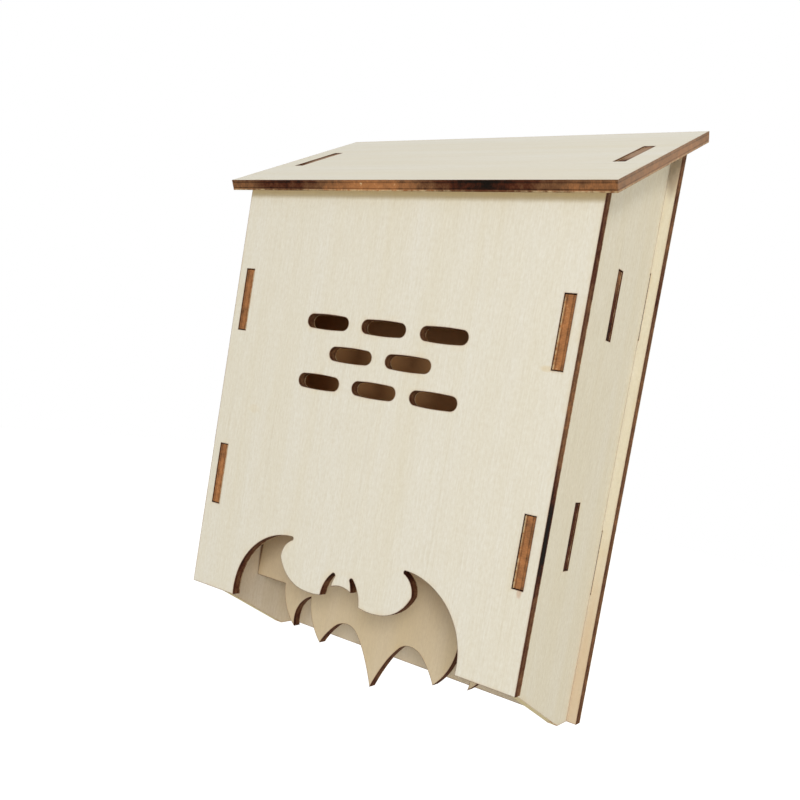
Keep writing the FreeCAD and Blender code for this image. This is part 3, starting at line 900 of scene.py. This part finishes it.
def set_camera(scene, studio):
    """Stand the camera at its place, turned, tipped and rolled."""
    data = bpy.data.cameras.new("camera")
    data.lens, data.sensor_width, data.clip_start = studio.lens, SENSOR_WIDTH, NEAREST
    data.shift_x, data.shift_y = studio.shift_x, studio.shift_y
    camera = bpy.data.objects.new("camera", data)
    heading = Matrix.Rotation(studio.camera_heading, 4, "Z")
    pitch = Matrix.Rotation(math.radians(90) + studio.camera_pitch, 4, "X")
    roll = Matrix.Rotation(studio.camera_roll, 4, "Z")
    camera.matrix_world = Matrix.Translation(studio.camera_place) @ heading @ pitch @ roll
    scene.collection.objects.link(camera)
    scene.camera = camera


def set_surround(scene, studio):
    """Surround the box with even white."""
    world = bpy.data.worlds.new("white_surround")
    world.use_nodes = True
    tree = world.node_tree
    tree.nodes.clear()
    sky = add_node(tree, "ShaderNodeBackground", {
        "Color": (1, 1, 1, 1), "Strength": bright_to_the_eye(tree, studio.sky)})
    add_node(tree, "ShaderNodeOutputWorld", {"Surface": sky.outputs[0]})
    scene.world = world


def paper_roll(studio):
    """Seamless paper: plain and matt. To the camera it also glows a little, so that it meets the
    white surround without a line and still takes the box's shadow. It has no underside, so
    that a view from below looks through it."""
    material = bpy.data.materials.new("floor_white_paper_roll")
    material.use_nodes = True
    tree = material.node_tree
    tree.nodes.clear()
    seen = add_node(tree, "ShaderNodeLightPath").outputs["Is Camera Ray"]
    paper = add_node(tree, "ShaderNodeBsdfDiffuse", {"Color": studio.paper})
    lift = add_node(tree, "ShaderNodeMath", {0: seen, 1: studio.glow}, operation="MULTIPLY")
    shine = add_node(tree, "ShaderNodeEmission", {"Color": (1, 1, 1, 1), "Strength": lift.outputs[0]})
    both = add_node(tree, "ShaderNodeAddShader", {0: paper.outputs[0], 1: shine.outputs[0]})
    clear = add_node(tree, "ShaderNodeBsdfTransparent")
    below = add_node(tree, "ShaderNodeNewGeometry").outputs["Backfacing"]
    sides = add_node(tree, "ShaderNodeMixShader", {0: below, 1: both.outputs[0], 2: clear.outputs[0]})
    add_node(tree, "ShaderNodeOutputMaterial", {"Surface": sides.outputs[0]})
    return material


def set_floor(scene, studio, middle):
    """Lay a wide square of paper below the box."""
    mesh = bmesh.new()
    level = CAD_BOX[0][2] - studio.floor_drop
    corners = [mesh.verts.new((middle.x + x * FLOOR_HALF, middle.y + y * FLOOR_HALF, level))
               for x, y in ((-1, -1), (1, -1), (1, 1), (-1, 1))]
    mesh.faces.new(corners)
    data = bpy.data.meshes.new("floor")
    mesh.to_mesh(data)
    mesh.free()
    data.materials.append(paper_roll(studio))
    floor = bpy.data.objects.new("floor", data)
    scene.collection.objects.link(floor)


class BATBOX_OT_studio(bpy.types.Operator):
    """Set up the camera, the white surround, the soft lamps and the pale floor"""
    bl_idname = "batbox.studio"
    bl_label = "Studio"

    def execute(self, context):
        scene, studio = context.scene, context.scene.batbox_studio
        scene.view_settings.view_transform = "Standard"
        set_camera(scene, studio)
        set_surround(scene, studio)
        middle = (Vector(CAD_BOX[0]) + Vector(CAD_BOX[1])) / 2
        for name, (offset, size) in LAMPS.items():
            place = middle + Vector(offset)
            add_lamp(scene, name + "_lamp", place, middle, size, getattr(studio, name))
        set_floor(scene, studio, middle)
        return {"FINISHED"}


class BATBOX_PT_panel(bpy.types.Panel):
    """Lists the steps in order, with their settings"""
    bl_idname = "BATBOX_PT_panel"
    bl_label = "Bat box"
    bl_space_type = "VIEW_3D"
    bl_region_type = "UI"
    bl_category = "Bat box"

    def draw(self, context):
        for operator in OPERATORS:
            self.layout.operator(operator.bl_idname)
        for settings in (context.scene.batbox_plywood, context.scene.batbox_studio):
            box = self.layout.box()
            for name in settings.__annotations__:
                box.prop(settings, name)


OPERATORS = (BATBOX_OT_materials, BATBOX_OT_front_panel, BATBOX_OT_back_panel, BATBOX_OT_side_plates,
             BATBOX_OT_baffle, BATBOX_OT_roof, BATBOX_OT_studio)
CLASSES = (BATBOX_PG_plywood, BATBOX_PG_studio) + OPERATORS + (BATBOX_PT_panel,)


def register():
    """Make the add-on's classes and settings known."""
    for cls in CLASSES:
        bpy.utils.register_class(cls)
    bpy.types.Scene.batbox_plywood = PointerProperty(type=BATBOX_PG_plywood)
    bpy.types.Scene.batbox_studio = PointerProperty(type=BATBOX_PG_studio)


def unregister():
    """Take them away again."""
    del bpy.types.Scene.batbox_studio
    del bpy.types.Scene.batbox_plywood
    for cls in reversed(CLASSES):
        bpy.utils.unregister_class(cls)


def main():
    """Make the plates and the studio."""
    register()
    bpy.ops.batbox.materials()
    bpy.ops.batbox.front_panel()
    bpy.ops.batbox.back_panel()
    bpy.ops.batbox.side_plates()
    bpy.ops.batbox.baffle()
    bpy.ops.batbox.roof()
    bpy.ops.batbox.studio()


if __name__ == "__main__":
    main()
